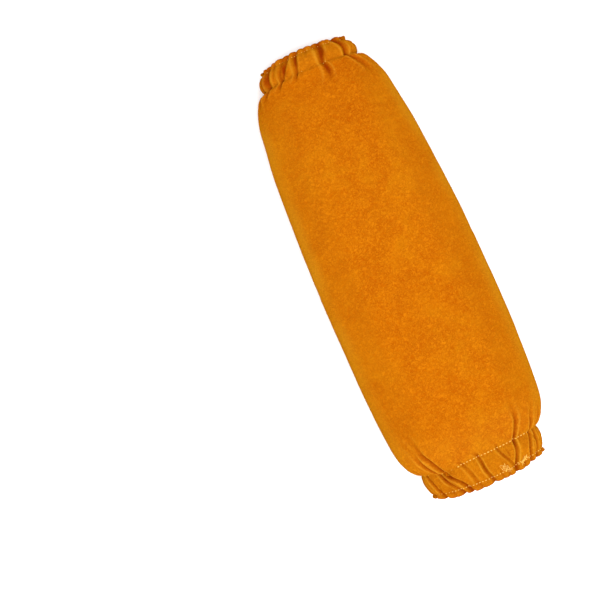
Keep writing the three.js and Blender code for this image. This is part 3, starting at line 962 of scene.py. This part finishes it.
# Cloudy patches between two tones, as brushed nap or worn cloth has
def patchesGroup():
    group, given, result = groupWith(
        "Nap patches",
        [("Vector", "NodeSocketVector", None), ("Scale", "NodeSocketFloat", 12.0),
         ("Distortion", "NodeSocketFloat", 0.6), ("Contrast", "NodeSocketFloat", 1.0)],
        "Mask",
    )
    clouds = addNode(group, "ShaderNodeTexNoise", Detail=3.0, Roughness=0.55)
    for socket in ("Vector", "Scale", "Distortion"):
        group.links.new(given.outputs[socket], clouds.inputs[socket])
    centred = addMath(group, "SUBTRACT", clouds.outputs["Fac"], 0.5)
    stronger = addMath(group, "MULTIPLY", centred, given.outputs["Contrast"])
    mask = addMath(group, "ADD", stronger, 0.5, clamped=True)
    group.links.new(mask, result.inputs["Mask"])
    return group


# Short fibres: fine noise drawn out along one direction
def fibresGroup():
    group, given, result = groupWith(
        "Fine fibres",
        [("Vector", "NodeSocketVector", None), ("Scale", "NodeSocketFloat", 900.0),
         ("Stretch", "NodeSocketVector", (1.0, 0.4, 1.0))],
        "Height",
    )
    drawn = addNode(group, "ShaderNodeVectorMath", operation="MULTIPLY")
    fine = addNode(group, "ShaderNodeTexNoise", Detail=3.0, Roughness=0.6)
    link = group.links.new
    link(given.outputs["Vector"], drawn.inputs[0])
    link(given.outputs["Stretch"], drawn.inputs[1])
    link(drawn.outputs[0], fine.inputs["Vector"])
    link(given.outputs["Scale"], fine.inputs["Scale"])
    link(fine.outputs["Fac"], result.inputs["Height"])
    return group


napPatches, fineFibres = patchesGroup(), fibresGroup()


def newMaterial(name):
    material = bpy.data.materials.new(name)
    material.use_nodes = True
    tree = material.node_tree
    return material, tree, tree.nodes["Principled BSDF"]


def objectSpace(tree):
    return tree.nodes.new("ShaderNodeTexCoord").outputs["Object"]


# Puts a group in a material, and returns what comes out of it
def placeGroup(tree, group, where, **values):
    node = addNode(tree, "ShaderNodeGroup", node_tree=group)
    setSockets(node, values)
    tree.links.new(where, node.inputs["Vector"])
    return node.outputs[0]


# Display colours of 0 to 255 as the linear ones that shaders take
def displayColour(red, green, blue):
    linear = [
        c / 12.92 if c <= 0.04045 else ((c + 0.055) / 1.055) ** 2.4
        for c in (red / 255, green / 255, blue / 255)
    ]
    return (*linear, 1.0)


suedeLook = {
    "main": displayColour(179, 94, 3),
    "yellow": displayColour(178, 105, 6),
    "deep": displayColour(162, 77, 2),       # brushed the other way; also painted shade towards the wrist end
    "dark": displayColour(141, 62, 0),       # between the fibres
    "pale": displayColour(201, 120, 14),     # tips of the fibres
    "fold": displayColour(124, 30, 0),       # painted shade down in the creases and on the turned edge
    "wearAndHighlight": displayColour(204, 142, 36),     # along the ridges, wear with a painted highlight; also painted light at the arm end
    "shade": displayColour(160, 91, 6),      # painted shade on the shoulders beside the top and on the underside
    "dull": displayColour(168, 112, 16),     # on the cuffs
    "sideSheen": displayColour(186, 134, 26),   # painted sheen along the two sides
    # how large each layer's marks are (noise scale per metre), how distinct and how strong
    "layers": table("tone scale distortion contrast amount", [
        ("yellow", 15, 0.5, 3.2, 1.0),
        ("deep", 34, 0.8, 3.4, 0.9),
        ("deep", 110, 0.6, 3.2, 0.46),
        ("dark", 330, 1.4, 4.0, 0.42),
        ("pale", 480, 1.4, 4.5, 0.46),
    ]),
    # the tone that each of the mesh's measures brings in, and how much of it: painted shade towards the
    # wrist, on the shoulders, underneath, in the creases and on the turned edge; painted light at the arm
    # end; painted sheen along the sides; wear with a painted highlight on the ridges
    "bands": {"wristwardShade": ("deep", 0.22), "armwardLight": ("wearAndHighlight", 0.06), "cuff": ("dull", 0.22),
              "shoulder": ("shade", 0.3), "edge": ("sideSheen", 0.25), "under": ("shade", 0.8),
              "ridge": ("wearAndHighlight", 0.6), "crease": ("fold", 0.87), "rim": ("fold", 0.3)},
    "layerShift": (0.37, 0.21, 0),   # in metres from one layer to the next, so their marks differ
    "napScale": 1500,
    "bump": (0.8, 0.0005),   # strength and distance
    "shader": {"Roughness": 1.0, "Specular IOR Level": 0.0, "Sheen Weight": 0.3,
               "Sheen Roughness": 0.3, "Sheen Tint": displayColour(215, 165, 0)},
}


def makeSuede():
    material, tree, shader = newMaterial("brushed suede")
    setSockets(shader, suedeLook["shader"])
    link, where, tone = tree.links.new, objectSpace(tree), suedeLook["main"]
    for i, layer in enumerate(suedeLook["layers"]):
        shifted = addNode(tree, "ShaderNodeVectorMath", operation="ADD")
        shifted.inputs[1].default_value = [i * step for step in suedeLook["layerShift"]]
        link(where, shifted.inputs[0])
        marks = placeGroup(tree, napPatches, shifted.outputs[0], Scale=layer["scale"],
                           Distortion=layer["distortion"], Contrast=layer["contrast"])
        amount = addMath(tree, "MULTIPLY", marks, layer["amount"])
        tone = mixColour(tree, amount, tone, suedeLook[layer["tone"]])
    for part, (colour, most) in suedeLook["bands"].items():
        measured = addNode(tree, "ShaderNodeAttribute", attribute_name=part)
        amount = addMath(tree, "MULTIPLY", measured.outputs["Fac"], most, clamped=True)
        tone = mixColour(tree, amount, tone, suedeLook[colour])
    link(tone, shader.inputs["Base Color"])
    nap = placeGroup(tree, fineFibres, where, Scale=suedeLook["napScale"])
    addBump(tree, shader, addMath(tree, "ADD", marks, nap), *suedeLook["bump"])
    return material


threadLook = {
    "tone": displayColour(226, 178, 66),
    "shade": displayColour(202, 144, 46),
    "soilScale": 160, "soilContrast": 2.4,
    "plyScale": 3200,
    "bump": (0.5, 0.0002),
    "shader": {"Roughness": 0.7, "Sheen Weight": 0.2},
}


def makeThread():
    material, tree, shader = newMaterial("hem thread")
    setSockets(shader, threadLook["shader"])
    where = objectSpace(tree)
    soil = placeGroup(tree, napPatches, where, Scale=threadLook["soilScale"],
                      Contrast=threadLook["soilContrast"])
    plies = placeGroup(tree, fineFibres, where, Scale=threadLook["plyScale"])
    tone = mixColour(tree, soil, threadLook["shade"], threadLook["tone"])
    tree.links.new(tone, shader.inputs["Base Color"])
    addBump(tree, shader, plies, *threadLook["bump"])
    return material


elasticLook = {
    "tone": displayColour(232, 226, 210),
    "shade": displayColour(196, 186, 164),
    "soilScale": 60, "soilContrast": 1.6,
    "ribScale": 260.0, "ribWaver": 0.4,
    "weaveScale": 1800,
    "bump": (0.6, 0.0003),
    "shader": {"Roughness": 0.8},
}


def makeElastic():
    material, tree, shader = newMaterial("woven elastic")
    setSockets(shader, elasticLook["shader"])
    where = objectSpace(tree)
    soil = placeGroup(tree, napPatches, where, Scale=elasticLook["soilScale"],
                      Contrast=elasticLook["soilContrast"])
    ribs = addNode(tree, "ShaderNodeTexWave", bands_direction="Y", Scale=elasticLook["ribScale"],
                   Distortion=elasticLook["ribWaver"])
    tree.links.new(where, ribs.inputs["Vector"])
    weave = placeGroup(tree, fineFibres, where, Scale=elasticLook["weaveScale"])
    tone = mixColour(tree, soil, elasticLook["shade"], elasticLook["tone"])
    tree.links.new(tone, shader.inputs["Base Color"])
    addBump(tree, shader, addMath(tree, "ADD", ribs.outputs["Fac"], weave), *elasticLook["bump"])
    return material


def wear(piece, material):
    piece.data.materials.clear()
    piece.data.materials.append(material)


suede, thread, elastic = makeSuede(), makeThread(), makeElastic()
wear(leather, suede)
for row in stitches:
    wear(row, thread)
for node in ("wrist_elastic", "arm_elastic"):
    wear(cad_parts[node], elastic)
print("materials made")

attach(leather, "root")
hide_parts("leather_sleeve")
for row in stitches:
    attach(row, "root")

# The floor, light and camera
studio = {
    "floorSize": 30.0,
    "floorShader": {"Base Color": (0.93, 0.93, 0.93, 1), "Roughness": 0.9, "Specular IOR Level": 0.1},
    "worldStrength": 0.9,
    "lampHeight": 3.4,
    "lampSize": 2.7,
    "lampPower": 165,
    "lampSide": (0.0, -0.95),     # off the sleeve's middle, in metres
}
shot = {
    "lens": 85.0,
    "sensor": 36.0,
    "viewWidth": 0.5828,           # metres across the picture, at the sleeve's own height
    "viewMiddle": (-0.0943, 0.0),
    "sleeveHeight": 0.03,
    "roll": math.radians(24.02),   # the wrist end leans to the left of the picture
}


def makeFloor():
    half = studio["floorSize"] / 2
    corners = [(-half, -half, 0), (half, -half, 0), (half, half, 0), (-half, half, 0)]
    mesh = bpy.data.meshes.new("floor")
    mesh.from_pydata(corners, [], [(0, 1, 2, 3)])
    floor = addToScene(bpy.data.objects.new("floor", mesh))
    material, tree, shader = newMaterial("pale floor")
    setSockets(shader, studio["floorShader"])
    wear(floor, material)


def makeLight():
    world = bpy.data.worlds.new("studio")
    world.use_nodes = True
    sky = {"Color": (1, 1, 1, 1), "Strength": studio["worldStrength"]}
    setSockets(world.node_tree.nodes["Background"], sky)
    bpy.context.scene.world = world
    lamp = bpy.data.lights.new("softbox", "AREA")
    lamp.energy = studio["lampPower"]
    lamp.size = studio["lampSize"]
    softbox = addToScene(bpy.data.objects.new("softbox", lamp))
    softbox.location = (*studio["lampSide"], studio["lampHeight"])
    softbox.rotation_euler = (-softbox.location).to_track_quat("-Z", "Y").to_euler()


def makeCamera():
    data = bpy.data.cameras.new("camera")
    data.lens = shot["lens"]
    data.sensor_width = shot["sensor"]
    camera = addToScene(bpy.data.objects.new("camera", data))
    distance = shot["viewWidth"] * shot["lens"] / shot["sensor"]
    camera.location = (*shot["viewMiddle"], shot["sleeveHeight"] + distance)
    camera.rotation_euler = (0, 0, -shot["roll"])
    bpy.context.scene.camera = camera


makeFloor()
makeLight()
makeCamera()
bpy.context.scene.view_settings.view_transform = "Standard"
print("floor, light and camera made")
